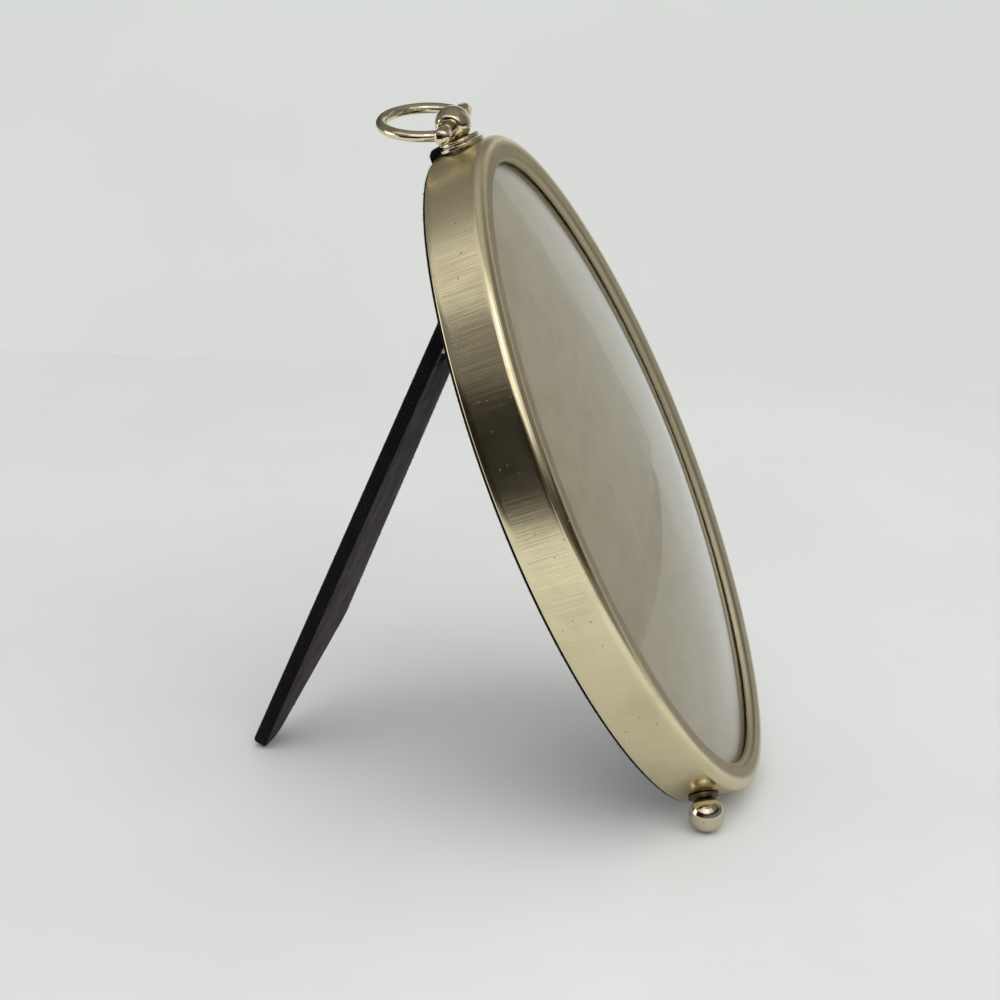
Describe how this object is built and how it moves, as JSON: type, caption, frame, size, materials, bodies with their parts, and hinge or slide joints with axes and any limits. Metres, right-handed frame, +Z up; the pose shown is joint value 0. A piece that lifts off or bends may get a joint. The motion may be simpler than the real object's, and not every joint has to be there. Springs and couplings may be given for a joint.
{
  "type": "oval table picture frame",
  "caption": "Small oval brass table frame with domed glass over a blank card, a ball-jointed hanging ring on top, ball feet and a velvet back with a folding leg.",
  "frame": {"origin": "middle of the bounding box on the floor the frame stands on", "axes": "+Z up, the picture faces -Y and leans back, the leg stands out to +Y, +X is the frame's right seen from the front"},
  "size_m": [0.0888, 0.1164, 0.1508],
  "materials": {
    "rim_brass": "cross-brushed satin band, polished lip",
    "polished_brass": "polished",
    "steel": "plain",
    "clear_glass": "polished",
    "pale_card": "matt",
    "grey_board": "matt",
    "black_velvet": "short pile",
    "brown_lining": "matt"
  },
  "bodies": {
    "frame": {"rim_shell": "rim_brass", "convex_glass": "clear_glass", "picture_card": "pale_card", "filler_board_rear": "grey_board", "filler_board_middle": "grey_board", "filler_board_front": "grey_board", "back_board": "grey_board", "back_velvet": "black_velvet", "back_tab": "black_velvet", "hinge_plate": "steel", "hinge_pin": "steel", "hinge_rivet_left": "steel", "hinge_rivet_right": "steel", "bail_washer_lower": "polished_brass", "bail_washer_upper": "polished_brass", "bail_post": "polished_brass", "bail_nut": "steel", "bail_pin": "steel", "foot_washer_left": "polished_brass", "foot_ball_left": "polished_brass", "foot_nut_left": "steel", "foot_washer_right": "polished_brass", "foot_ball_right": "polished_brass", "foot_nut_right": "steel"},
    "leg": {"leg_velvet": "black_velvet", "leg_board": "grey_board", "leg_lining": "brown_lining", "leg_eye_left": "steel", "leg_eye_right": "steel", "leg_rivet_left": "steel", "leg_rivet_right": "steel"},
    "bail": {"bail_ring": "polished_brass"}
  },
  "joints": [
    {"name": "leg_fold", "type": "hinge", "parent": "frame", "child": "leg", "pos_m": [0, 0.00678, 0.11381], "axis": [-1, 0, 0], "range_deg": [0, 47]},
    {"name": "ring_swing", "type": "hinge", "parent": "frame", "child": "bail", "pos_m": [0, 0.01151, 0.14696], "axis": [0.9898, 0.0573, 0.1306], "range_deg": [-50, 185]}
  ]
}
